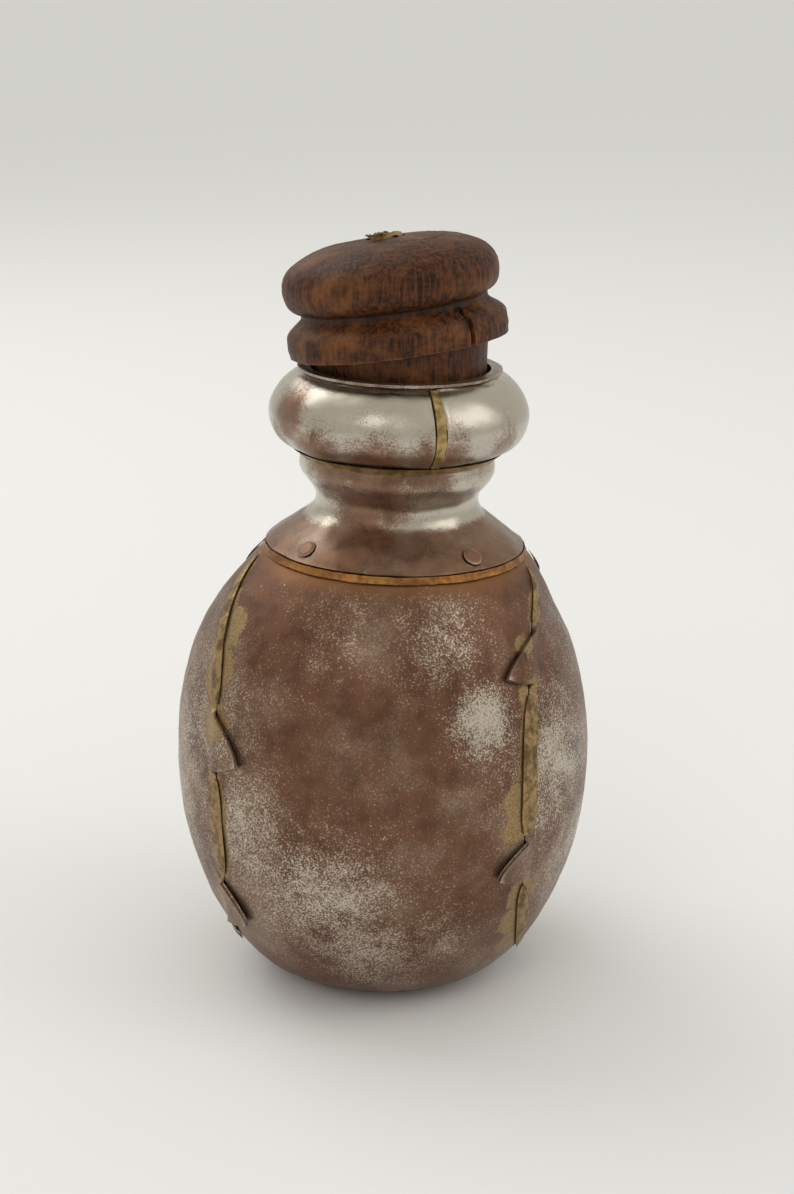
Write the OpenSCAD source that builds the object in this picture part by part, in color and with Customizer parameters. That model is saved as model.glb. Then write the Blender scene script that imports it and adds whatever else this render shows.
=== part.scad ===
// Flask of raised sheet iron, brazed with brass, with a turned wooden stopper.
// Millimetres. The origin is the centre of the flat base, +Z is up and the front faces -Y.
// Azimuths are in degrees: 0 is the front, 90 is the +X side and 180 is the back.

/* [Body outline] */
// Outer radius of the body at its widest
body_r = 50.3; // [47:0.1:54]
// Height of the widest place above the table
widest_z = 56; // [53:0.5:60]
// Height of the upper half-ellipse of the outline, above the widest place
crown_h = 63.3; // [58:0.1:70]
// Depth of the lower half-ellipse of the outline, below the widest place
belly_h = 67.2; // [64:0.1:71]
// Angle that the outline turns through between the flat base and the belly
base_turn = 55; // [50:1:60]
// Thickness of the body sheet
sheet_t = 1; // [0.7:0.05:1.2]
// Radius of the hole in the crown, hidden under the collar
crown_hole_r = 24.5; // [23:0.1:26]

/* [Seams and tabs] */
// Distance from the middle plane to the seams, near the base
seam_x_low = 33.7; // [31:0.1:35]
// Distance from the middle plane to the seams, at the widest place and above
seam_x_high = 35.6; // [33:0.1:37]
// Azimuth that the seams reach at the collar
seam_top_az = 80; // [76:1:83]
// Gap between the edges of two neighbouring sheets
seam_gap = 0.3; // [0.2:0.05:0.4]
// Gap between a tab and the sheet that it laps over or under
tab_gap = 0.3; // [0.25:0.05:0.5]
// How far a tab laps over the neighbouring panel
tab_reach = 8.5; // [5:0.1:10]
// Width of the strip in which a tab bends up out of its own sheet
tab_bend = 2.2; // [1.8:0.1:3]
// How far the free tip of an outer tab curls up
tab_curl = 0.5; // [0.2:0.05:1]
// Half of the height of a tab on the right side
right_tab_half = 5; // [4:0.1:6]
// Half of the height of a tab on the left side
left_tab_half = 6.5; // [4:0.1:7]
// Height of the upper outer tab on the right side
right_tab_high_z = 87; // [84:0.5:90]
// Height of the lower outer tab on the right side
right_tab_low_z = 41; // [38:0.5:44]
// Height of the inner tab on the right side
right_tab_in_z = 64; // [61:0.5:67]
// Height of the upper outer tab on the left side
left_tab_high_z = 68; // [66:0.5:71]
// Height of the lower outer tab on the left side
left_tab_low_z = 26; // [25:0.5:29]
// Height of the inner tab on the left side
left_tab_in_z = 47; // [45:0.5:49]
// Depth of the hammered folds in the upper part of the gussets
fold_depth = 0.6; // [0:0.05:1]

/* [Brass] */
// Width of the brass on the panel side of a seam
brass_panel_w = 1.5; // [1:0.1:3]
// Width of the brass on the gusset side of a seam
brass_gusset_w = 2.8; // [1:0.1:4]
// Height of the brass over the sheets at a seam
brass_h = 0.35; // [0.2:0.05:0.6]
// Gap between the brass and the iron beside it
brass_gap = 0.15; // [0.1:0.01:0.2]
// Width of the brass fillet round the collar edge
collar_brass_w = 1.3; // [0.8:0.1:2]
// Width of the brass strip inside the base seam
base_brass_w = 5; // [3:0.1:8]
// Thickness of the brass strip inside the base seam
base_brass_t = 0.6; // [0.3:0.05:1]

/* [Neck] */
// Sideways place of the neck axis where it meets the crown
neck_dx = 3; // [0:0.1:4]
// Lean of the neck towards +X, in degrees
neck_lean = 1.6; // [0:0.1:2]
// Height below the collar edge over which the crown is drawn over towards the neck
skew_span = 19; // [15:0.5:24]
// Thickness of the neck sheet
neck_t = 0.8; // [0.6:0.05:0.9]
// Radius on the crown at which the edge of the collar rests
collar_r = 30; // [28.5:0.1:31.5]
// Outer radius of the waist
waist_r = 19.3; // [18:0.1:20]
// Height of the waist above the crown hole
waist_rise = 7.4; // [6.5:0.1:8.5]
// Outer radius of the bulge above the waist
bulge_r = 23.3; // [23.1:0.1:24]
// Height from the waist to the bulge
bulge_rise = 7.7; // [7:0.1:9]
// Height from the bulge to the upper edge of the collar
collar_top_rise = 3.4; // [3:0.1:5]
// Outer radius of the hollow ring
ring_r = 30.6; // [29:0.1:33]
// Height of the ring below its widest place
ring_low_h = 8.7; // [7:0.1:10]
// Height of the ring above its widest place
ring_high_h = 9.9; // [8:0.1:12]
// Azimuth of the upright seam in the ring
ring_seam_az = 22; // [0:1:60]
// Width of the brass in the upright seam of the ring
ring_seam_w = 2.4; // [1.6:0.1:4]

/* [Mouth] */
// Radius of the mouth
mouth_r = 21.1; // [20.9:0.05:21.4]
// Thickness of the sleeve that lines the mouth
sleeve_t = 0.7; // [0.5:0.05:0.75]
// Width of the flat lip round the mouth
lip_w = 2.7; // [2.2:0.1:3.5]
// Thickness of the lip
lip_t = 0.7; // [0.5:0.05:1]
// Length of the sleeve below the upper edge of the collar
sleeve_drop = 2.8; // [1:0.1:4]

/* [Rivets] */
// Radius on the crown at which the rivets sit
rivet_circle_r = 27.2; // [26.9:0.1:27.4]
// Azimuth of the front rivets, to either side
rivet_az = 43; // [25:1:60]
// Radius of the countersunk rivet head
rivet_head_r = 2.3; // [2:0.05:2.5]
// Radius of the rivet shank
rivet_shank_r = 1.2; // [0.8:0.05:1.4]
// Clearance round a rivet
rivet_gap = 0.1; // [0.05:0.01:0.15]
// Height of the low dome on a rivet head
rivet_dome = 0.25; // [0.1:0.05:0.4]
// Radius of the upset tail inside the flask
rivet_tail_r = 1.7; // [1.6:0.05:1.9]
// Thickness of the upset tail
rivet_tail_t = 0.7; // [0.4:0.05:1]

/* [Stopper] */
// Radius of the knob
knob_r = 25.3; // [22:0.1:28]
// Height of the widest part of the knob above the flange corner
knob_mid_s = 15.6; // [14:0.1:17]
// Height of the crown of the knob above the flange corner
knob_top_s = 24.7; // [22:0.1:28]
// Radius of the groove between knob and flange
groove_r = 21.7; // [19:0.1:23]
// Height of the groove above the flange corner
groove_s = 9.4; // [8.5:0.1:10]
// Radius of the flange
flange_r = 25.8; // [24:0.1:28]
// Height of the upper edge of the flange
flange_s = 5; // [4:0.1:6]
// Depth of the undercut below the flange
undercut = 1; // [0.4:0.1:2]
// Least gap between the plug and the mouth
plug_gap = 0.3; // [0.25:0.05:0.6]
// Length of the plug below the flange corner
plug_len = 19; // [12:0.1:19.5]
// Height of the flange corner above the lip
stopper_rise = 4.9; // [4.7:0.1:8]
// Sideways place of the stopper axis from the neck axis, at the lip
stopper_dx = 0.5; // [0.3:0.05:0.7]
// Lean of the stopper towards -X
stopper_lean = 7.7; // [6:0.1:8]
// Lean of the stopper away from the front
stopper_back = 1.6; // [0:0.1:2]
// Width of the split in the flange
split_w = 1.3; // [0.6:0.1:2.5]
// Depth of the split in the flange
split_depth = 4; // [2:0.1:6]
// Azimuth of the split in the flange
split_az = 45; // [0:1:90]
// Radius of the peg in the crown of the knob
peg_r = 4.5; // [3:0.1:6]
// Depth of the blind hole for the peg
peg_hole = 13; // [6:0.5:18]
// Clearance round the peg
peg_gap = 0.05; // [0.03:0.01:0.1]
// Height of the broken stub above the crown of the knob
peg_stub = 1.3; // [0.5:0.1:3]
// Slope of the break across the stub
peg_break = 12; // [0:1:20]

/* [Hidden] */
$fn = 96;
iron = [0.42, 0.32, 0.27];
tinned = [0.66, 0.64, 0.60];
brass = [0.62, 0.50, 0.27];
wood = [0.36, 0.20, 0.12];
end_wood = [0.55, 0.38, 0.20];
deg = 180 / PI;

// Steps of the sheet meshes: rows on crown, belly, base arc and base flat, then columns
crown_rows = 11;
belly_rows = 9;
arc_rows = 4;
flat_rows = 4;
panel_cols = 16;
gusset_cols = 7;
curve_steps = 8;

// Place where the belly meets the arc that leads into the flat base
belly_slope = pow(belly_h / body_r, 2) / tan(base_turn);
turn_r = 1 / sqrt(pow(1 / body_r, 2) + pow(belly_slope / belly_h, 2));
turn_z = widest_z - belly_slope * turn_r;
base_arc_r = turn_z / (1 - cos(base_turn));
base_flat_r = turn_r - base_arc_r * sin(base_turn);
turn_t = asin((widest_z - turn_z) / belly_h);

// Heights on the crown
function crown_z(r) = widest_z + crown_h * sqrt(1 - pow(r / body_r, 2));
hole_t = acos(crown_hole_r / body_r);
hole_z = crown_z(crown_hole_r);
edge_z = crown_z(collar_r);

// A point of the outline with its outward normal, as [radius, height, normal r, normal z]
function outline_point(r, z, nr, nz) = let (n = norm([nr, nz])) [r, z, nr / n, nz / n];
function crown_point(t) =
    outline_point(body_r * cos(t), widest_z + crown_h * sin(t), cos(t) / body_r, sin(t) / crown_h);
function belly_point(t) =
    outline_point(body_r * cos(t), widest_z - belly_h * sin(t), cos(t) / body_r, -sin(t) / belly_h);
function base_point(t) =
    outline_point(base_flat_r + base_arc_r * sin(t), base_arc_r * (1 - cos(t)), sin(t), -cos(t));
function outline_at(z) =
    z >= widest_z ? crown_point(asin((z - widest_z) / crown_h))
    : z >= turn_z ? belly_point(asin((widest_z - z) / belly_h))
    : base_point(acos(1 - z / base_arc_r));
function pushed_out(o, d) = [o[0] + o[2] * d, o[1] + o[3] * d];

// Share of the neck's sideways place and lean that the crown has taken up at a height
function smooth(k) = let (c = max(0, min(1, k))) c * c * (3 - 2 * c);
function skew(z) = smooth((z - edge_z + skew_span) / skew_span);

// Point on the body at an outline point and azimuth, pushed out along the normal
function skin(o, az, out) =
    let (p = pushed_out(o, out), k = skew(o[1]), x = p[0] * sin(az))
    let (shift = k * (neck_dx + (p[1] - edge_z) * sin(neck_lean)))
    [x + shift, -p[0] * cos(az), p[1] - tan(neck_lean) * k * x];

// Azimuth of the seams: a strap of nearly constant width runs over front and back
seam_sharpness = 20;
function seam_az(o) =
    let (x = seam_x_low + (seam_x_high - seam_x_low) * max(0, min(1, o[1] / widest_z)))
    let (limit = o[1] > widest_z ? sin(seam_top_az) : 1, u = x / o[0])
    asin(u / pow(1 + pow(u / limit, seam_sharpness), 1 / seam_sharpness));
function arc_deg(length, o) = length / o[0] * deg;

// Heights of the rows of a sheet, from the crown hole down to the flat base
crown_zs = [for (i = [crown_rows:-1:0]) widest_z + crown_h * sin(hole_t * i / crown_rows)];
belly_zs = [for (i = [1:belly_rows]) widest_z - belly_h * sin(turn_t * i / belly_rows)];
arc_zs = [for (i = [1:arc_rows]) base_arc_r * (1 - cos(base_turn * (1 - i / arc_rows)))];

function reversed(list) = [for (i = [len(list) - 1:-1:0]) list[i]];
function falling(list) =
    len(list) < 2 ? list
    : let (pivot = list[floor(len(list) / 2)])
    concat(
        falling([for (v = list) if (v > pivot) v]),
        [for (v = list) if (v == pivot) v],
        falling([for (v = list) if (v < pivot) v])
    );

// Closed sheet between two grids of points: rows run down, columns run to the right from outside
function quad_faces(a, b, c, d, flip) = flip ? [[a, c, b], [a, d, c]] : [[a, b, c], [a, c, d]];
function grid_faces(rows, cols, start, flip) = [
    for (i = [0:rows - 2], j = [0:cols - 2])
        let (a = start + i * cols + j, b = a + 1, c = a + cols + 1, d = a + cols)
        each j < (cols - 1) / 2 ? quad_faces(b, c, d, a, flip) : quad_faces(a, b, c, d, flip)
];
function rim_faces(rim, start) = [
    for (i = [0:len(rim) - 1])
        let (a = rim[i], b = rim[(i + 1) % len(rim)])
        each [[a, a + start, b + start], [a, b + start, b]]
];
module sheet(outside, inside) {
    rows = len(outside);
    cols = len(outside[0]);
    count = rows * cols;
    rim = concat(
        [for (j = [0:cols - 1]) j],
        [for (i = [1:rows - 1]) i * cols + cols - 1],
        [for (j = [cols - 2:-1:0]) (rows - 1) * cols + j],
        [for (i = [rows - 2:-1:1]) i * cols]
    );
    polyhedron(
        points = [for (row = concat(outside, inside)) each row],
        faces = concat(
            grid_faces(rows, cols, 0, false),
            grid_faces(rows, cols, count, true),
            rim_faces(rim, count)
        )
    );
}

// Front or back panel: one strap of sheet from the collar down and half-way under the base
function panel_row(z, out) =
    let (o = outline_at(z), half = seam_az(o) - arc_deg(seam_gap / 2, o))
    [for (j = [0:panel_cols]) skin(o, half * (2 * j / panel_cols - 1), out)];
// On the flat, rows are half-ellipses that close on the seam across the base
flat_draw_in = 0.12;
function flat_row(k, out) = [
    for (j = [0:panel_cols])
        let (az = 90 * (2 * j / panel_cols - 1))
        [
            base_flat_r * (1 - flat_draw_in * k) * sin(az),
            -base_flat_r * (1 - k) * cos(az) - seam_gap / 2,
            -out
        ]
];
function panel_grid(out) = concat(
    [for (z = concat(crown_zs, belly_zs, arc_zs)) panel_row(z, out)],
    [for (k = [1:flat_rows]) flat_row(k / flat_rows, out)]
);
module panel() {
    difference() {
        sheet(panel_grid(0), panel_grid(-sheet_t));
        at_rivets([rivet_az, -rivet_az]) rivet_hole();
    }
}

// Tabs as [height, half height, 1 over or -1 under the panel]
right_tabs = [
    [right_tab_high_z, right_tab_half, 1],
    [right_tab_in_z, right_tab_half, -1],
    [right_tab_low_z, right_tab_half, 1]
];
left_tabs = [
    [left_tab_high_z, left_tab_half, 1],
    [left_tab_in_z, left_tab_half, -1],
    [left_tab_low_z, left_tab_half, 1]
];
// Rows of one tab as [place up the tab, reach, lift], all as shares of the full size
tab_rows = [[1, 0, 1], [0.45, 0.55, 1], [-0.15, 0.95, 1], [-0.5, 1, 1], [-0.8, 0.6, 1], [-1, 0, 1]];
// Height over which the end of a tab comes up out of its sheet
tab_side = 0.8;
// Least distance between a row of the sheet and the rows of a tab
row_room = 0.9;

// Rows of a gusset as [height, reach, lift, curl], from the crown hole down to its tip
function near_tab(z, tabs) =
    len([for (t = tabs) if (abs(z - t[0]) < t[1] + tab_side + row_room) t]) > 0;
function tab_lift(t) = t[2] * (sheet_t + tab_gap);
function rows_of_tab(t) = concat(
    [[t[0] + t[1] + tab_side, 0, 0, 0]],
    [for (k = tab_rows) [t[0] + t[1] * k[0], tab_reach * k[1], tab_lift(t) * k[2], max(0, t[2]) * k[1]]],
    [[t[0] - t[1] - tab_side, 0, 0, 0]]
);
tip_half_w = 1.6;
function gusset_half_w(z) = let (o = outline_at(z)) (90 - seam_az(o)) / deg * o[0] - seam_gap / 2;
function gusset_rows(tabs) =
    let (plain = [for (z = concat(crown_zs, belly_zs, arc_zs))
        if (!near_tab(z, tabs) && gusset_half_w(z) > tip_half_w) [z, 0, 0, 0]])
    let (all = concat(plain, [for (t = tabs) each rows_of_tab(t)]))
    [for (z = falling([for (row = all) row[0]])) [for (row = all) if (row[0] == z) row][0]];

// Hammered folds: shallow upright grooves that fade out towards the collar and the middle
fold_count = 2;
fold_mid = 0.72;
fold_reach = 0.2;
function fold(u, z) =
    let (k = (z - widest_z) / (edge_z - widest_z), fade = smooth(1 - abs(k - fold_mid) / fold_reach))
    -fold_depth * fade * (1 - cos(360 * fold_count * u)) / 2;

// Columns of a gusset row as [distance from the front edge, lift], then the same mirrored
edge_step = 0.6;
edge_share = 0.15;
bend_share = 0.5;
function gusset_row(row, side, out) =
    let (o = outline_at(row[0]), half = gusset_half_w(row[0]))
    let (e = min(edge_step, edge_share * half), b = min(tab_bend, bend_share * half))
    let (pull = row[1] > 0 ? 1 : 0, lift = row[2])
    let (near = [
        [-row[1], lift + tab_curl * row[3]],
        [e - pull * (e + seam_gap / 2), lift],
        [b, 0]
    ])
    let (middle = [for (j = [1:gusset_cols])
        let (u = j / (gusset_cols + 1)) [b + (2 * half - 2 * b) * u, fold(u, row[0])]])
    let (far = [for (c = reversed(near)) [2 * half - c[0], c[1]]])
    let (line = [for (c = concat(near, middle, far))
        skin(o, side * (90 + arc_deg(c[0] - half, o)), out + c[1])])
    side > 0 ? line : reversed(line);
module gusset(tabs, side) {
    rows = gusset_rows(tabs);
    sheet(
        [for (row = rows) gusset_row(row, side, 0)],
        [for (row = rows) gusset_row(row, side, -sheet_t)]
    );
}

// Brass run into the seam: low crowned strips that stop short of the outer tabs
brass_step = 2.5;
brass_end_gap = 1.2;
brass_low_z = 9;
brass_crown = [0.35, 0.8, 1];
function outer_tabs(tabs) = [for (t = tabs) if (t[2] > 0) t];
function brass_runs(tabs) =
    let (o = outer_tabs(tabs), clear = tab_side + brass_end_gap)
    let (tops = concat([edge_z - collar_brass_w - 1], [for (t = o) t[0] - t[1] - clear]))
    let (ends = concat([for (t = o) t[0] + t[1] + clear], [brass_low_z]))
    [for (i = [0:len(tops) - 1]) [tops[i], ends[i]]];
function brass_section(z, share, side) =
    let (o = outline_at(z), l = -brass_panel_w * share, r = brass_gusset_w * share)
    let (h = brass_gap + brass_h * share)
    [for (c = [[l, brass_gap], [l / 2, h], [0, h], [r / 2, h], [r, brass_gap], [0, brass_gap]])
        skin(o, side * (seam_az(o) + arc_deg(c[0], o)), c[1])];
module brass_run(run, side) {
    steps = max(4, ceil((run[0] - run[1]) / brass_step));
    sections = [for (i = [0:steps])
        let (end = min(i, steps - i), share = end < 2 ? brass_crown[end] : brass_crown[2])
        brass_section(run[0] + (run[1] - run[0]) * i / steps, share, side)];
    n = len(sections[0]);
    last = steps * n;
    walls = [for (i = [0:steps - 1], j = [0:n - 1])
        let (a = i * n + j, b = i * n + (j + 1) % n)
        each [[a, b, b + n], [a, b + n, a + n]]];
    caps = [for (j = [0:n - 3])
        each [[n - 1, j + 1, j], [last + n - 1, last + j, last + j + 1]]];
    faces = concat(walls, caps);
    polyhedron(
        points = [for (s = sections) each s],
        faces = side > 0 ? faces : [for (f = faces) reversed(f)]
    );
}
module seam_brass(tabs, side) {
    for (run = brass_runs(tabs)) brass_run(run, side);
}
module base_brass() {
    translate([-base_flat_r, -base_brass_w / 2, sheet_t + brass_gap])
        cube([2 * base_flat_r, base_brass_w, base_brass_t]);
}

// The neck pieces share one leaning axis
module on_neck() {
    translate([neck_dx, 0, edge_z]) rotate([0, neck_lean, 0]) translate([0, 0, -edge_z]) children();
}
function bezier(a, b, c, d) = [
    for (i = [0:curve_steps])
        let (u = i / curve_steps, v = 1 - u)
        v * v * v * a + 3 * v * v * u * b + 3 * v * u * u * c + u * u * u * d
];
function moved(p, d) = [
    for (i = [0:len(p) - 1])
        let (way = p[min(i + 1, len(p) - 1)] - p[max(i - 1, 0)])
        p[i] + d * [way[1], -way[0]] / norm(way)
];
function strip(outer, t) = concat(outer, reversed(moved(outer, -t)));

// Collar: a skirt on the crown, a waist and a bulge, in one sheet
lap_gap = 0.3;
waist_z = hole_z + waist_rise;
bulge_z = waist_z + bulge_rise;
collar_top_z = bulge_z + collar_top_rise;
collar_top_r = mouth_r + sleeve_t + 0.2 + neck_t;
skirt_from_t = acos(collar_r / body_r);
skirt_to_t = acos((crown_hole_r + 0.8) / body_r);
skirt_steps = 4;
skirt = [for (i = [0:skirt_steps])
    pushed_out(crown_point(skirt_from_t + (skirt_to_t - skirt_from_t) * i / skirt_steps), lap_gap + neck_t)];
skirt_end = skirt[skirt_steps];
skirt_way = (skirt_end - skirt[skirt_steps - 1]) / norm(skirt_end - skirt[skirt_steps - 1]);
function without_first(list) = [for (i = [1:len(list) - 1]) list[i]];
collar_outer = concat(
    skirt,
    without_first(bezier(skirt_end, skirt_end + 4 * skirt_way, [waist_r, waist_z - 3.5], [waist_r, waist_z])),
    without_first(bezier([waist_r, waist_z], [waist_r, waist_z + bulge_rise / 3],
        [bulge_r, bulge_z - bulge_rise / 2.6], [bulge_r, bulge_z])),
    without_first(bezier([bulge_r, bulge_z], [bulge_r, bulge_z + collar_top_rise * 0.4],
        [collar_top_r, collar_top_z - collar_top_rise * 0.3], [collar_top_r, collar_top_z]))
);
module collar() {
    on_neck() rotate_extrude() polygon(strip(collar_outer, neck_t));
}

// Rivets: each is set square to the crown, with its own origin on the crown surface
module at_rivets(azimuths) {
    o = crown_point(acos(rivet_circle_r / body_r));
    on_neck() for (az = azimuths)
        rotate([0, 0, az]) translate([0, -o[0], o[1]]) rotate([atan2(o[2], o[3]), 0, 0]) children();
}
rivet_top = lap_gap + neck_t;
module rivet_hole() {
    translate([0, 0, -3 * sheet_t]) cylinder(r = rivet_shank_r + rivet_gap, h = 3 * sheet_t + rivet_top);
    translate([0, 0, lap_gap - 0.1])
        cylinder(r1 = rivet_shank_r + rivet_gap, r2 = rivet_head_r + 2 * rivet_gap, h = neck_t + 0.2);
}
module rivet() {
    tail_z = -sheet_t - 2 * rivet_gap - rivet_tail_t;
    translate([0, 0, tail_z]) cylinder(r = rivet_tail_r, h = rivet_tail_t);
    translate([0, 0, tail_z]) cylinder(r = rivet_shank_r, h = rivet_top - tail_z);
    translate([0, 0, lap_gap]) cylinder(r1 = rivet_shank_r, r2 = rivet_head_r, h = neck_t);
    translate([0, 0, rivet_top]) cylinder(r1 = rivet_head_r, r2 = rivet_head_r * 0.7, h = rivet_dome);
}

// Brass fillet that closes the collar edge on the crown
module collar_brass() {
    edge = crown_point(skirt_from_t);
    far = crown_point(acos((collar_r + collar_brass_w) / body_r));
    out = brass_gap;
    on_neck() rotate_extrude() polygon([
        pushed_out(edge, out) + [brass_gap * edge[3], -brass_gap * edge[2]],
        pushed_out(far, out),
        pushed_out(edge, out + neck_t) + [brass_gap * edge[3], -brass_gap * edge[2]]
    ]);
}

// Hollow ring: a C-shaped bead round the mouth, flatter above than below
ring_in_r = mouth_r + sleeve_t;
ring_mid_z = collar_top_z + lap_gap + ring_low_h;
ring_fall = 3;
ring_flatness = 2 / 1.7;
ring_end_t = acos(pow((lip_w - sleeve_t - 0.5) / (ring_r - ring_in_r), 1 / ring_flatness));
function ring_point(t) =
    t < 0 ? [ring_in_r + (ring_r - ring_in_r) * cos(t), ring_mid_z + ring_low_h * sin(t)]
    : [
        ring_in_r + (ring_r - ring_in_r) * pow(cos(t), ring_flatness),
        ring_mid_z + ring_high_h * pow(sin(t), ring_flatness)
    ];
ring_steps = 12;
ring_path = concat(
    [for (i = [0:ring_steps - 1]) ring_point((ring_fall - 90) * (1 - i / ring_steps))],
    [for (i = [0:ring_steps]) ring_point(ring_end_t * i / ring_steps)]
);
ring_top_z = ring_path[2 * ring_steps][1];
seam_deg = ring_seam_w / ring_r * deg;
seam_gap_deg = 2 * brass_gap / ring_r * deg;
module ring() {
    on_neck() rotate([0, 0, ring_seam_az - 90 + seam_deg / 2 + seam_gap_deg / 2])
        rotate_extrude(angle = 360 - seam_deg - seam_gap_deg) polygon(strip(ring_path, neck_t));
}
// Brass that fills the upright seam of the ring and stands a little proud
ring_brass_from = 4;
ring_brass_path = [for (i = [ring_brass_from:2 * ring_steps - 1]) ring_path[i]];
module ring_brass() {
    on_neck() rotate([0, 0, ring_seam_az - 90 - seam_deg / 2])
        rotate_extrude(angle = seam_deg) polygon(strip(moved(ring_brass_path, brass_h), neck_t + brass_h));
}
// Brass fillet in the corner between the collar and the ring
joint_w = 2.1;
joint_h = 1;
module neck_brass() {
    in_r = collar_top_r + brass_gap;
    under = ring_point(-acos((in_r + joint_w - ring_in_r) / (ring_r - ring_in_r)));
    root = ring_point(-acos((in_r - ring_in_r) / (ring_r - ring_in_r)));
    on_neck() rotate_extrude() polygon([
        [in_r, collar_top_z - joint_h],
        [in_r + joint_w, under[1] - brass_gap],
        [in_r, root[1] - brass_gap]
    ]);
}

// Lip: a flat ring on the bead, turned down inside as the sleeve of the mouth
lip_z = ring_top_z + lap_gap;
module lip() {
    on_neck() rotate_extrude() polygon([
        [mouth_r, collar_top_z - sleeve_drop],
        [mouth_r + sleeve_t, collar_top_z - sleeve_drop],
        [mouth_r + sleeve_t, lip_z],
        [mouth_r + lip_w, lip_z],
        [mouth_r + lip_w, lip_z + lip_t],
        [mouth_r, lip_z + lip_t]
    ]);
}

// Stopper: its own origin is on its axis, level with the lower corner of the flange
mouth_z = lip_z + lip_t;
mouth_x = neck_dx + (mouth_z - edge_z) * sin(neck_lean);
module at_stopper() {
    translate([mouth_x + stopper_dx, 0, mouth_z])
        rotate([-stopper_back, -stopper_lean, 0]) translate([0, 0, stopper_rise]) children();
}
// The plug tapers by its own tilt, so that one side of it lies along the wall of the mouth
stopper_tilt = acos(cos(stopper_lean + neck_lean) * cos(stopper_back));
plug_taper = sin(stopper_tilt) * cos(stopper_tilt);
plug_lip_r = (mouth_r - plug_gap - stopper_dx) * cos(stopper_tilt);
function plug_r_at(s) = plug_lip_r + plug_taper * (s + stopper_rise);
plug_tip_r = plug_r_at(-plug_len);
plug_chamfer = 1;
knob_profile = concat(
    [
        [0, -plug_len],
        [plug_tip_r - plug_chamfer, -plug_len],
        [plug_tip_r, -plug_len + plug_chamfer],
        [plug_r_at(undercut), undercut],
        [flange_r - 0.4, 0],
        [flange_r, flange_s * 0.45]
    ],
    bezier([flange_r - 0.2, flange_s], [flange_r - 0.6, flange_s + 1.6],
        [groove_r + 0.8, groove_s - 1.8], [groove_r, groove_s - 0.6]),
    bezier([groove_r, groove_s + 0.5], [knob_r - 0.9, groove_s + 1.2],
        [knob_r - 0.05, knob_mid_s - 2.6], [knob_r, knob_mid_s]),
    without_first(bezier([knob_r, knob_mid_s], [knob_r, knob_mid_s + 4.2],
        [knob_r - 3.8, knob_top_s - 2.4], [knob_r - 9.8, knob_top_s - 1])),
    without_first(bezier([knob_r - 9.8, knob_top_s - 1], [knob_r - 13, knob_top_s - 0.25],
        [4, knob_top_s], [0, knob_top_s]))
);
module stopper_wood() {
    difference() {
        rotate_extrude() polygon(knob_profile);
        translate([0, 0, knob_top_s - peg_hole]) cylinder(r = peg_r + peg_gap, h = peg_hole + 1);
        rotate([0, 0, split_az]) translate([-split_w / 2, -flange_r - 1, -1])
            cube([split_w, split_depth + 1, groove_s]);
    }
}
module peg() {
    length = peg_hole - peg_gap + peg_stub;
    difference() {
        translate([0, 0, knob_top_s - peg_hole + peg_gap]) cylinder(r = peg_r, h = length);
        translate([0, 0, knob_top_s + peg_stub]) rotate([0, peg_break, 0])
            translate([-3 * peg_r, -3 * peg_r, 0]) cube([6 * peg_r, 6 * peg_r, 4 * peg_r]);
    }
}

module front_panel() { color(iron) panel(); }
module back_panel() { color(iron) mirror([0, 1, 0]) panel(); }
module left_gusset() { color(iron) gusset(left_tabs, -1); }
module right_gusset() { color(iron) gusset(right_tabs, 1); }
module brass_front_left() { color(brass) seam_brass(left_tabs, -1); }
module brass_front_right() { color(brass) seam_brass(right_tabs, 1); }
module brass_back_left() { color(brass) mirror([0, 1, 0]) seam_brass(left_tabs, -1); }
module brass_back_right() { color(brass) mirror([0, 1, 0]) seam_brass(right_tabs, 1); }
module brass_base_seam() { color(brass) base_brass(); }
module neck_collar() {
    color(tinned) difference() {
        collar();
        at_rivets([rivet_az, -rivet_az, 180 - rivet_az, 180 + rivet_az]) rivet_hole();
    }
}
module collar_rivets() {
    color(iron) at_rivets([rivet_az, -rivet_az, 180 - rivet_az, 180 + rivet_az]) rivet();
}
module brass_collar_joint() { color(brass) collar_brass(); }
module neck_ring() { color(tinned) ring(); }
module brass_neck_joint() { color(brass) neck_brass(); }
module brass_ring_seam() { color(brass) ring_brass(); }
module mouth_lip() { color(tinned) lip(); }
module stopper() { color(wood) at_stopper() stopper_wood(); }
module stopper_peg() { color(end_wood) at_stopper() peg(); }

front_panel();
back_panel();
left_gusset();
right_gusset();
brass_front_left();
brass_front_right();
brass_back_left();
brass_back_right();
brass_base_seam();
neck_collar();
collar_rivets();
brass_collar_joint();
neck_ring();
brass_neck_joint();
brass_ring_seam();
mouth_lip();
stopper();
stopper_peg();
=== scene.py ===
import math
import bpy
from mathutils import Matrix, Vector, kdtree, noise


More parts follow.
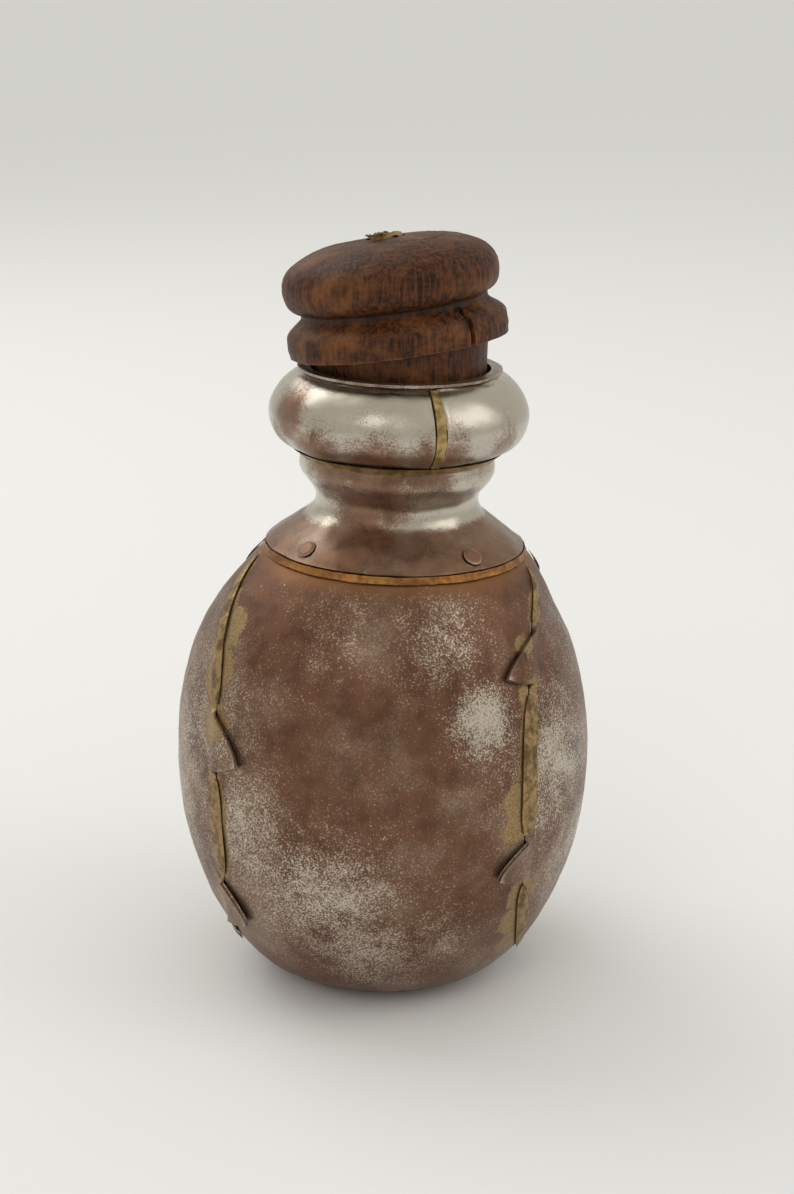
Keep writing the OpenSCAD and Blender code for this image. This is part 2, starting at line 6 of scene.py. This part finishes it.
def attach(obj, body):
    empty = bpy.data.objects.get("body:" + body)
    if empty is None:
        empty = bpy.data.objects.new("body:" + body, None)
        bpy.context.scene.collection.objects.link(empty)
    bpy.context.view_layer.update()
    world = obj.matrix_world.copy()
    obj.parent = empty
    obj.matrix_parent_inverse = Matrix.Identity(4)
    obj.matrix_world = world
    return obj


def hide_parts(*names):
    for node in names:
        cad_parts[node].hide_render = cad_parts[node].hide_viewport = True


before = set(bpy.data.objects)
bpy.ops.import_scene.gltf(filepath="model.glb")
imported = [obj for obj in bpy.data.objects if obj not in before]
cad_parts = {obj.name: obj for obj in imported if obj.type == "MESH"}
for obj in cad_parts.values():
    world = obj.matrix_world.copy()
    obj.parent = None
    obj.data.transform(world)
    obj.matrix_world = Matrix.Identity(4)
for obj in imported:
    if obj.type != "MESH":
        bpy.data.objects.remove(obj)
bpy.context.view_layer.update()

# Camera: about half a metre in front of the flask and a little to its right, looking down
# at it with a short portrait lens. The scene is in metres, the lens and film in millimetres.
MM = 0.001
camera_distance = 480 * MM
camera_height = 240 * MM
camera_azimuth = math.radians(4)
camera_down = math.radians(17)
camera_to_right = 3.45 * MM
lens_length = 63.3
film_width = 36
nearest_seen = 10 * MM
to_camera = Vector((math.sin(camera_azimuth), -math.cos(camera_azimuth), 0))
right_of_camera = Vector((math.cos(camera_azimuth), math.sin(camera_azimuth), 0))
place = to_camera * camera_distance + right_of_camera * camera_to_right
place.z = camera_height
bpy.ops.object.camera_add(location=place, rotation=(math.pi / 2 - camera_down, 0, camera_azimuth))
camera = bpy.context.object
camera.data.lens = lens_length
camera.data.sensor_width = film_width
camera.data.clip_start = nearest_seen
bpy.context.scene.camera = camera
bpy.context.scene.view_settings.view_transform = "Standard"


# Table and light: a pale matt table that runs out of sight, under the soft light of a large
# window behind and to the left, with weaker ones to the right and in front.
def srgb(code):
    """The linear colour of an sRGB hex code."""
    values = [int(code[i:i + 2], 16) / 255 for i in (1, 3, 5)]
    return [v / 12.92 if v <= 0.04045 else ((v + 0.055) / 1.055) ** 2.4 for v in values] + [1]


def add_node(tree, kind, inputs=None, **settings):
    """Adds a node with its settings. An input is a value or another node's output."""
    node = tree.nodes.new(kind)
    for key, value in settings.items():
        setattr(node, key, value)
    for key, value in (inputs or {}).items():
        if isinstance(value, bpy.types.NodeSocket):
            tree.links.new(value, node.inputs[key])
        else:
            node.inputs[key].default_value = value
    return node


def maths(tree, operation, first, second):
    """The result of a math node on two values."""
    return add_node(tree, "ShaderNodeMath", {0: first, 1: second}, operation=operation).outputs[0]


def new_material(name):
    """A material with an empty node tree, its output and its main shader."""
    material = bpy.data.materials.new(name)
    material.use_nodes = True
    tree = material.node_tree
    tree.nodes.clear()
    shader = add_node(tree, "ShaderNodeBsdfPrincipled")
    add_node(tree, "ShaderNodeOutputMaterial", {"Surface": shader.outputs[0]})
    return material, tree, shader


table_radius = 14
table_sides = 64
bpy.ops.object.select_all(action="DESELECT")
bpy.ops.mesh.primitive_circle_add(vertices=table_sides, radius=table_radius, fill_type="NGON")
table = bpy.context.object
table.name = "pale_table"
matt_board, tree, shader = new_material("matt_painted_board")
shader.inputs["Base Color"].default_value = srgb("#f2f1ed")
shader.inputs["Roughness"].default_value = 0.85
shader.inputs["Specular IOR Level"].default_value = 0.2
table.data.materials.append(matt_board)

# The room lights the flask evenly. The camera and glossy surfaces see a greyer backdrop instead.
room_light = 0.8
backdrop_light = 1
world = bpy.context.scene.world or bpy.data.worlds.new("room")
bpy.context.scene.world = world
world.use_nodes = True
tree = world.node_tree
tree.nodes.clear()
ray = add_node(tree, "ShaderNodeLightPath").outputs
through = maths(tree, "MAXIMUM", ray["Is Camera Ray"], ray["Is Transmission Ray"])
seen = maths(tree, "MAXIMUM", through, ray["Is Glossy Ray"])
room = add_node(tree, "ShaderNodeBackground", {
    "Color": srgb("#f3f3f1"), "Strength": room_light}).outputs[0]
backdrop = add_node(tree, "ShaderNodeBackground", {
    "Color": srgb("#d5d3ca"), "Strength": backdrop_light}).outputs[0]
both = add_node(tree, "ShaderNodeMixShader", {0: seen, 1: room, 2: backdrop})
add_node(tree, "ShaderNodeOutputWorld", {"Surface": both.outputs[0]})

middle_of_flask = 90 * MM


def window(name, at, size, power):
    """A large soft lamp that faces the flask, at and size in metres, power in watts."""
    bpy.ops.object.light_add(type="AREA", location=at)
    lamp = bpy.context.object
    lamp.name = name
    lamp.data.shape = "RECTANGLE"
    lamp.data.size, lamp.data.size_y = size
    lamp.data.energy = power
    aim = Vector((0, 0, middle_of_flask)) - Vector(at)
    lamp.rotation_euler = aim.to_track_quat("-Z", "Y").to_euler()


window("window_behind_left", at=(-0.75, 0.55, 1.05), size=(1.0, 0.8), power=4.5)
window("window_right", at=(0.95, -0.15, 0.75), size=(0.6, 0.7), power=1.6)
window("window_in_front", at=(-0.35, -1.1, 0.95), size=(0.5, 0.4), power=1.2)


# Body sheets: two straps of iron sheet over front and back and two lens-shaped gussets between
# them, raised by hammer from 1 mm sheet, tinned, and since worn down to a brown patina.
same_point = 0.002 * MM
flat_within = math.radians(30)
square_within = math.radians(60)
sharp_from = math.radians(50)
smooth_up_to = math.radians(38)


def worked_copy(node, name, levels, kind="CATMULL_CLARK"):
    """A finer copy of a CAD node, with its sheet edges kept sharp."""
    bpy.ops.object.select_all(action="DESELECT")
    piece = bpy.data.objects.new(name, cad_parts[node].data.copy())
    piece.data.materials.clear()
    bpy.context.scene.collection.objects.link(piece)
    bpy.context.view_layer.objects.active = piece
    piece.select_set(True)
    bpy.ops.object.mode_set(mode="EDIT")
    bpy.ops.mesh.select_mode(type="VERT")
    bpy.ops.mesh.select_all(action="SELECT")
    bpy.ops.mesh.remove_doubles(threshold=same_point)
    bpy.ops.mesh.tris_convert_to_quads(face_threshold=flat_within, shape_threshold=square_within)
    bpy.ops.mesh.select_all(action="DESELECT")
    bpy.ops.mesh.select_mode(type="EDGE")
    bpy.ops.mesh.edges_select_sharp(sharpness=sharp_from)
    bpy.ops.transform.edge_crease(value=1)
    bpy.ops.object.mode_set(mode="OBJECT")
    finer = piece.modifiers.new("finer", "SUBSURF")
    finer.subdivision_type = kind
    finer.levels = finer.render_levels = levels
    bpy.ops.object.modifier_apply(modifier=finer.name)
    return piece


# Noise runs from -1 to 1. Raised by this much, what is still below 0 leaves no mark.
mark_cover = 0.5


def hammered(piece, marks, flat_z=0):
    """Sinks a piece's outer side by soft marks, each (depth, size).

    The side that faces the flask's axis stays, and so does all that lies below flat_z.
    """
    normals = [v.normal.copy() for v in piece.data.vertices]
    for vertex, normal in zip(piece.data.vertices, normals):
        faces_in = normal.x * vertex.co.x + normal.y * vertex.co.y < 0
        if vertex.co.z < flat_z or faces_in:
            continue
        sink = sum(depth * max(0, mark_cover + noise.noise(vertex.co / size))
            for depth, size in marks)
        vertex.co -= normal * sink
    piece.data.update()


def finished(piece, node, body, material):
    """Gives a piece its material and puts it in a CAD node's stead."""
    bpy.ops.object.select_all(action="DESELECT")
    bpy.context.view_layer.objects.active = piece
    piece.select_set(True)
    bpy.ops.object.shade_smooth_by_angle(angle=smooth_up_to)
    piece.data.materials.append(material)
    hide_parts(node)
    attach(piece, body)


def points_of(nodes):
    """A search tree over the points of CAD nodes and the middles of their edges."""
    points = []
    for node in nodes:
        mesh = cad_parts[node].data
        points += [v.co.copy() for v in mesh.vertices]
        points += [(mesh.vertices[e.vertices[0]].co + mesh.vertices[e.vertices[1]].co) / 2
            for e in mesh.edges]
    tree = kdtree.KDTree(len(points))
    for i, point in enumerate(points):
        tree.insert(point, i)
    tree.balance()
    return tree


def near(points, reach):
    """A value function that falls from 1 at the points to 0 at the reach, in millimetres."""
    return lambda co: max(0, 1 - points.find(co)[2] / (reach * MM))


def painted(piece, name, value_at):
    """Stores a value for each point of a piece, for its material to read."""
    layer = piece.data.attributes.new(name, "FLOAT", "POINT")
    for vertex, stored in zip(piece.data.vertices, layer.data):
        stored.value = value_at(vertex.co)


def on_body(point, spots):
    """Strongest of some soft spots on the body, each (azimuth, height, radius, strength)."""
    round_r = math.hypot(point.x, point.y)
    azimuth = math.degrees(math.atan2(point.x, -point.y))
    best = 0
    for spot_az, spot_z, radius, strength in spots:
        turn = (azimuth - spot_az + 180) % 360 - 180
        far = math.hypot(math.radians(turn) * round_r, point.z - spot_z * MM) / (radius * MM)
        best = max(best, strength * math.exp(-far * far))
    return best


# Where the tinning has survived the rubbing: azimuth in degrees from the front, to the right,
# then height and radius in millimetres, then strength.
tin_spots = [
    (-14, 36, 21, 0.9), (-36, 46, 20, 0.75), (-3, 20, 16, 0.85), (20, 24, 16, 0.5),
    (33, 77, 9, 1.3), (24, 93, 14, 0.6), (-12, 97, 14, 0.4), (-58, 70, 24, 0.7),
    (-75, 46, 24, 0.8), (62, 62, 22, 0.95), (75, 38, 20, 0.8), (88, 85, 20, 0.55),
    (120, 50, 24, 0.75), (150, 84, 20, 0.65), (180, 42, 22, 0.9), (205, 72, 18, 0.6),
    (232, 36, 20, 0.8), (255, 78, 20, 0.7)
]
# Where the brass has spread over the sheet beside a seam, in the same terms
brass_spots = [
    (42, 57, 5, 1.1), (42, 50, 5, 1.1), (47, 32, 5.5, 1), (48, 24, 5.5, 1), (52, 16, 5, 0.9),
    (50, 80, 4.5, 0.9), (53, 90, 4, 0.8), (-52, 83, 8, 0.85), (-54, 92, 7, 0.8),
    (-48, 72, 6, 0.8), (-47, 60, 4, 0.7), (-53, 26, 4, 0.9), (138, 40, 6, 1),
    (133, 80, 6, 0.8), (221, 55, 6, 0.9), (228, 88, 5, 0.8)
]
seams = ["brass_front_left", "brass_front_right", "brass_back_left", "brass_back_right"]
collar_edge = points_of(["brass_collar_joint"])


def pattern(tree, size, detail=4, rough=0.6, stretch=(1, 1, 1), twist=0):
    """Cloudy pattern whose patches are about size millimetres across."""
    place = add_node(tree, "ShaderNodeTexCoord").outputs["Object"]
    turned = add_node(tree, "ShaderNodeMapping", {"Vector": place, "Scale": stretch})
    return add_node(tree, "ShaderNodeTexNoise", {
        "Vector": turned.outputs[0], "Scale": 1 / (size * MM),
        "Detail": detail, "Roughness": rough, "Distortion": twist}).outputs[0]


def step(tree, value, low, high, to_low=0, to_high=1):
    """Maps a value softly from the range low to high to another range."""
    return add_node(tree, "ShaderNodeMapRange", {
        "Value": value, "From Min": low, "From Max": high,
        "To Min": to_low, "To Max": to_high}, interpolation_type="SMOOTHSTEP").outputs[0]


def sum_of(tree, *terms):
    """Adds terms, each (output, share)."""
    total = None
    for output, share in terms:
        part = maths(tree, "MULTIPLY", output, share)
        total = part if total is None else maths(tree, "ADD", total, part)
    return total


def blended(tree, share, under, over):
    """One colour over another, by a share. A colour is a hex code or a node's output."""
    under, over = [srgb(c) if isinstance(c, str) else c for c in (under, over)]
    # The sockets of this node go by number: 0 is the share, 6 and 7 are the two colours.
    mix = add_node(tree, "ShaderNodeMix", {0: share, 6: under, 7: over}, data_type="RGBA")
    return mix.outputs[2]


def attribute(tree, name):
    """What painted has stored under a name."""
    return add_node(tree, "ShaderNodeAttribute", attribute_name=name).outputs["Fac"]


def roughened(tree, shader, height, depth):
    """Fine relief of a surface, depth in millimetres."""
    bump = add_node(tree, "ShaderNodeBump", {
        "Height": height, "Distance": depth * MM, "Strength": 1})
    tree.links.new(bump.outputs[0], shader.inputs["Normal"])


# Worn tinning over brown iron: the tin is left as silvery clouds that break up into fine specks,
# and brass has run out beside the seams.
def worn_tin_iron(name, browns, tin, tin_bias, grit, rough_base):
    """Sheet iron with remains of tin. Browns are dark, middle and greyed.

    A higher tin_bias leaves more tin, grit breaks it up, and rough_base dulls all of it.
    """
    material, tree, shader = new_material(name)
    clouds = pattern(tree, 22, detail=3)
    blots = pattern(tree, 6, detail=6, rough=0.65, twist=0.4)
    specks = pattern(tree, 0.45, detail=5, rough=0.8)
    pits = pattern(tree, 0.5, detail=3, rough=0.7)
    brown = blended(tree, step(tree, blots, 0.3, 0.6, to_low=0.35), browns[0], browns[1])
    brown = blended(tree, step(tree, clouds, 0.42, 0.72, to_high=0.6), brown, browns[2])
    left = sum_of(tree, (attribute(tree, "tin"), 0.5), (clouds, 0.4), (blots, 0.6), (specks, grit))
    tin_starts = 0.76 + grit / 2 - tin_bias
    tin_full = 1.08 + grit / 2 - tin_bias
    bright = step(tree, left, tin_starts, tin_full)
    dust = step(tree, sum_of(tree, (clouds, 0.6), (specks, 0.9)), 0.74, 0.98, to_high=0.3)
    wear_and_shade_curvature = add_node(tree, "ShaderNodeNewGeometry").outputs["Pointiness"]
    rubbed = maths(tree, "MAXIMUM", dust, step(tree, wear_and_shade_curvature, 0.53, 0.62))
    silver = maths(tree, "MAXIMUM", bright, rubbed)
    colour = blended(tree, silver, brown, tin)
    colour = blended(tree, step(tree, pits, 0.66, 0.74, to_high=0.75), colour, browns[0])
    run = sum_of(tree, (attribute(tree, "brass"), 1), (blots, 0.9), (specks, 0.35))
    film = step(tree, run, 1.1, 1.2)
    brass = blended(tree, step(tree, specks, 0.4, 0.62), "#7d6544", "#b09468")
    colour = blended(tree, film, colour, brass)
    rust = step(tree, attribute(tree, "edge"), 0.15, 1, to_high=0.8)
    colour = blended(tree, rust, colour, "#855a36")
    tree.links.new(colour, shader.inputs["Base Color"])
    tree.links.new(step(tree, silver, 0, 1, to_low=0.72), shader.inputs["Metallic"])
    rough = sum_of(tree, (blots, 0.3), (specks, 0.2), (silver, -0.12))
    tree.links.new(maths(tree, "ADD", rough, rough_base), shader.inputs["Roughness"])
    relief = sum_of(tree, (specks, 1), (pits, -0.4), (film, 0.8))
    roughened(tree, shader, relief, depth=0.05)
    return material


body_iron = worn_tin_iron("worn_tinned_sheet_iron", ("#4a3124", "#704c37", "#876a53"), "#c6bdae",
    tin_bias=0, grit=2.6, rough_base=0.18)
sheet_marks = [(0.22 * MM, 11 * MM), (0.1 * MM, 4 * MM)]
flat_base = 1.2 * MM
film_strength = 0.7
beside_seam = near(points_of(seams), 4.2)
below_collar = near(collar_edge, 6)
for node in ("front_panel", "back_panel", "left_gusset", "right_gusset"):
    sheet = worked_copy(node, node + "_sheet", levels=2)
    hammered(sheet, sheet_marks, flat_z=flat_base)
    painted(sheet, "tin", lambda co: on_body(co, tin_spots))
    painted(sheet, "brass",
        lambda co: max(film_strength * beside_seam(co), on_body(co, brass_spots)))
    painted(sheet, "edge", below_collar)
    finished(sheet, node, "flask", body_iron)


# Brass: brazing brass that was melted into the seams and joints. It lies in low uneven runs,
# tarnished brown in the hollows and rubbed yellow where it stands proud.
def run_brass(name, dark, light):
    """Brass that has run and set, dark and light in blots, with fine dark specks."""
    material, tree, shader = new_material(name)
    blots = pattern(tree, 3, detail=5, rough=0.7)
    specks = pattern(tree, 0.7, detail=6, rough=0.75)
    colour = blended(tree, step(tree, blots, 0.38, 0.62), dark, light)
    colour = blended(tree, step(tree, specks, 0.5, 0.75, to_high=0.5), colour, "#4b3a22")
    tree.links.new(colour, shader.inputs["Base Color"])
    shader.inputs["Metallic"].default_value = 0.85
    tree.links.new(step(tree, specks, 0.3, 0.7, 0.32, 0.55), shader.inputs["Roughness"])
    roughened(tree, shader, sum_of(tree, (blots, 1), (specks, 0.4)), depth=0.12)
    return material


def as_it_is(node, material):
    """Keeps a CAD node in its own shape and gives it a material."""
    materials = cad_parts[node].data.materials
    materials.clear()
    materials.append(material)


seam_brass = run_brass("tarnished_brazing_brass", "#6b5539", "#a78a5f")
rusty_brass = run_brass("brazing_brass_with_rust", "#7b5230", "#a9753f")
ring_brass = run_brass("rubbed_brazing_brass", "#806a42", "#b59a68")
seam_marks = [(0.2 * MM, 5 * MM), (0.12 * MM, 1.4 * MM)]
joint_marks = [(0.15 * MM, 3 * MM), (0.08 * MM, 1 * MM)]
for node in seams:
    run = worked_copy(node, node + "_run", levels=2)
    hammered(run, seam_marks)
    finished(run, node, "flask", seam_brass)
for node, material in (("brass_collar_joint", rusty_brass), ("brass_neck_joint", ring_brass),
        ("brass_ring_seam", ring_brass)):
    run = worked_copy(node, node + "_run", levels=1, kind="SIMPLE")
    hammered(run, joint_marks)
    finished(run, node, "flask", material)
as_it_is("brass_base_seam", seam_brass)


# Neck: a collar whose skirt is riveted and brazed to the crown, a hollow ring made of one bent
# strip with an upright brass seam, and a lip. Rubbed bright by hands, brown in the hollows, with a
# band of painted shade round the root of the ring.
neck_iron = worn_tin_iron("rubbed_tinned_neck", ("#553b2b", "#826049", "#958170"), "#bdb5a8",
    tin_bias=0.15, grit=1, rough_base=0.06)
rivet_iron = worn_tin_iron("brown_collar_iron", ("#5c3f2e", "#845f47", "#8d6b54"), "#a89a86",
    tin_bias=-0.3, grit=2.6, rough_base=0.18)
round_rivets = near(points_of(["collar_rivets"]), 0.9)
along_edge = near(collar_edge, 1.1)


def neck_piece(node, marks, tin_at):
    """Makes one piece of the neck, with its tin as a function of the place."""
    piece = worked_copy(node, node + "_sheet", levels=1, kind="SIMPLE")
    hammered(piece, marks)
    painted(piece, "tin", tin_at)
    painted(piece, "brass", lambda co: 0)
    painted(piece, "edge", lambda co: max(round_rivets(co), along_edge(co)))
    finished(piece, node, "flask", neck_iron)


# Brown places on the bright ring and waist, in the terms of tin_spots: left flank, front of the
# waist, and round the root of the ring a band of painted shade, standing for the dark body that
# the ring's lower half reflects
bare_and_shade_spots = [
    (-48, 141, 7, 1.2), (-62, 135, 6, 0.9), (-12, 119, 8, 1.1), (8, 122, 8, 1),
    (-30, 131, 9, 1.2), (0, 130, 9, 1.2), (30, 131, 9, 1.1), (62, 132, 7, 1), (100, 138, 8, 1),
    (170, 119, 9, 1.3), (200, 132, 10, 1.2), (150, 131, 9, 1.1), (250, 131, 9, 1.1)
]
collar_marks = [(0.5 * MM, 8 * MM), (0.08 * MM, 2.5 * MM)]
ring_marks = [(0.42 * MM, 10 * MM), (0.08 * MM, 3 * MM)]
lip_marks = [(0.12 * MM, 3 * MM)]
skirt_top = 109.5 * MM
skirt_fade = 6 * MM
skirt_tin = -2.4
waist_tin = 1
ring_tin = 1.1
lip_tin = 0.4


def collar_tin(co):
    """Tin on the collar: none on its brown skirt, full on its waist but for the bare spots and the
    painted shade below the ring.
    """
    up = min(1, max(0, (co.z - skirt_top) / skirt_fade))
    return (waist_tin - skirt_tin) * up + skirt_tin - on_body(co, bare_and_shade_spots)


neck_piece("neck_collar", collar_marks, collar_tin)
# The ring loses its tin at the bare spots and in a band of painted shade round its root.
neck_piece("neck_ring", ring_marks, lambda co: ring_tin - on_body(co, bare_and_shade_spots))
neck_piece("mouth_lip", lip_marks, lambda co: lip_tin)
as_it_is("collar_rivets", rivet_iron)


# Stopper: turned from one piece of dark hardwood, with a tapered plug, a flange and a domed
# knob, darkened by handling and worn light on its edges, with painted shade in its hollows. A
# broken peg stands in its crown.
def turned_wood(name, dark, middle, light):
    """Wood with fine grain, worn light on its edges, and with painted shade that darkens its
    hollows near to black.
    """
    material, tree, shader = new_material(name)
    upright = pattern(tree, 0.8, detail=5, rough=0.75, stretch=(1, 1, 0.1))
    across = pattern(tree, 1.6, detail=6, rough=0.7, stretch=(0.08, 1, 1))
    cloud = pattern(tree, 9)
    fine = pattern(tree, 0.4, rough=0.7)
    streaks = sum_of(tree, (upright, 0.7), (across, 0.3))
    colour = blended(tree, step(tree, streaks, 0.4, 0.6), dark, middle)
    colour = blended(tree, step(tree, cloud, 0.45, 0.72, to_high=0.4), colour, light)
    colour = blended(tree, step(tree, fine, 0.58, 0.72, to_high=0.6), colour, dark)
    wear_and_shade_curvature = add_node(tree, "ShaderNodeNewGeometry").outputs["Pointiness"]
    colour = blended(tree, step(tree, wear_and_shade_curvature, 0.52, 0.6, to_high=0.7), colour, light)
    # Painted shade: where the surface curves inward, in the hollows and the groove, the colour is
    # darkened near to black.
    colour = blended(tree, step(tree, wear_and_shade_curvature, 0.497, 0.45, to_high=0.85), colour, "#150c07")
    tree.links.new(colour, shader.inputs["Base Color"])
    tree.links.new(step(tree, fine, 0.3, 0.7, 0.42, 0.62), shader.inputs["Roughness"])
    shader.inputs["Specular IOR Level"].default_value = 0.22
    roughened(tree, shader, sum_of(tree, (streaks, 1), (fine, 0.4)), depth=0.12)
    return material


stopper_wood = turned_wood("turned_dark_hardwood", "#1c0c05", "#5e3315", "#96602f")
peg_end = turned_wood("broken_peg_end", "#5a3d20", "#94734a", "#b3915f")
knob_marks = [(0.25 * MM, 8 * MM), (0.08 * MM, 1.5 * MM)]
stub_marks = [(1.1 * MM, 2.4 * MM), (0.4 * MM, 0.7 * MM)]
knob = worked_copy("stopper", "stopper_knob", levels=1, kind="SIMPLE")
hammered(knob, knob_marks)
finished(knob, "stopper", "stopper", stopper_wood)
stub = worked_copy("stopper_peg", "stopper_peg_stub", levels=4, kind="SIMPLE")
hammered(stub, stub_marks)
finished(stub, "stopper_peg", "stopper", peg_end)
